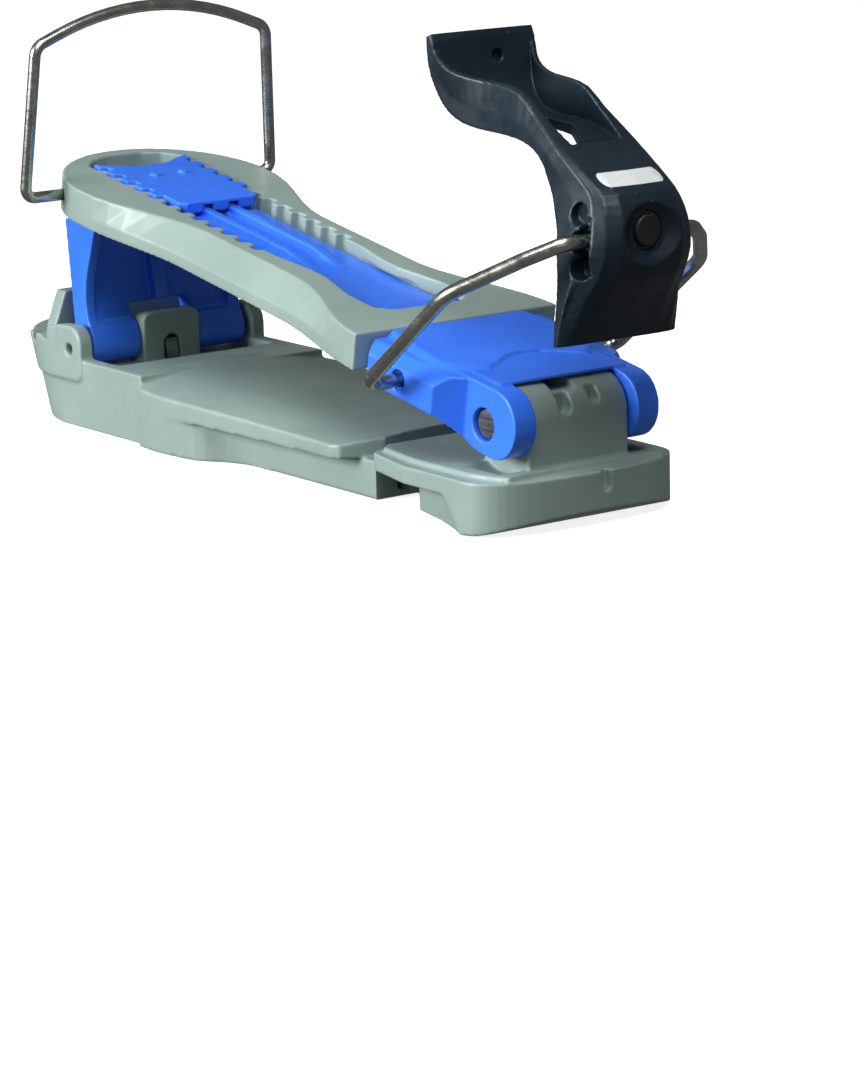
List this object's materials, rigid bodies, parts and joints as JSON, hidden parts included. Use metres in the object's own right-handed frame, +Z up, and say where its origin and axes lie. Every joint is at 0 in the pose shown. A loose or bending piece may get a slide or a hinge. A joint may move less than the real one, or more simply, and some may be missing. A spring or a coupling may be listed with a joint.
{
  "type": "touring binding",
  "caption": "Climbing adapter for a downhill ski binding: sole-shaped base, hinged boot plate with toe and heel bails, lever and folding heel riser.",
  "frame": {"origin": "on the underside of the toe piece, straight below the hinge pin", "axes": "+X forward (toe), +Y left, +Z up"},
  "size_m": [0.2855, 0.0924, 0.1299],
  "materials": {
    "grey_plastic": "satin",
    "blue_plastic": "satin",
    "dark_plastic": "satin",
    "black_plastic": "satin",
    "black_rail": "satin",
    "wire_steel": "polished",
    "steel": "satin"
  },
  "bodies": {
    "base_toe": {"front_base": "grey_plastic", "rail": "black_rail", "rail_screws": "steel", "hinge_bushes": "black_plastic"},
    "base_heel": {"rear_base": "grey_plastic", "riser_pin": "steel", "clamp_screw": "steel", "clamp_nut": "steel", "detent_spring": "steel"},
    "heel_riser": {"riser": "blue_plastic"},
    "boot_plate": {"toe_plate": "blue_plastic", "hinge_pin": "steel", "pin_ring": "steel", "tongue_screws": "steel", "heel_plate": "grey_plastic", "lock_pin": "steel"},
    "length_lock": {"lock": "blue_plastic", "lock_spring": "steel"},
    "rear_bail": {"heel_bail": "wire_steel"},
    "front_bail": {"toe_bail": "wire_steel"},
    "toe_lever": {"lever": "dark_plastic", "lever_inserts": "black_plastic", "button_ring": "black_plastic", "button_spring": "steel"},
    "push_button": {"button": "black_plastic"}
  },
  "joints": [
    {"name": "base_length", "type": "slide", "parent": "base_toe", "child": "base_heel", "axis": [-1, 0, 0], "range_m": [0, 0.035]},
    {"name": "riser_fold", "type": "hinge", "parent": "base_heel", "child": "heel_riser", "pos_m": [-0.1962, 0, 0.0236], "axis": [0, 1, 0], "range_deg": [0, 75]},
    {"name": "toe_hinge", "type": "hinge", "parent": "base_toe", "child": "boot_plate", "pos_m": [0, 0, 0.0284], "axis": [0, 1, 0], "range_deg": [0, 90]},
    {"name": "lock_lift", "type": "hinge", "parent": "boot_plate", "child": "length_lock", "pos_m": [-0.1632, 0, 0.06758], "axis": [0, 1, 0], "range_deg": [0, 25]},
    {"name": "heel_bail_swing", "type": "hinge", "parent": "boot_plate", "child": "rear_bail", "pos_m": [-0.1997, 0, 0.0705], "axis": [0, 1, 0], "range_deg": [-95, 85]},
    {"name": "toe_bail_swing", "type": "hinge", "parent": "boot_plate", "child": "front_bail", "pos_m": [-0.028, 0, 0.0376], "axis": [0, 1, 0], "range_deg": [-40, 5]},
    {"name": "lever_pivot", "type": "hinge", "parent": "front_bail", "child": "toe_lever", "pos_m": [0.0318, 0, 0.0803], "axis": [0, 1, 0], "range_deg": [-20, 100]},
    {"name": "button_push", "type": "slide", "parent": "toe_lever", "child": "push_button", "axis": [-1, 0, 0], "range_m": [0, 0.002], "stiffness_N_per_m": 400}
  ]
}
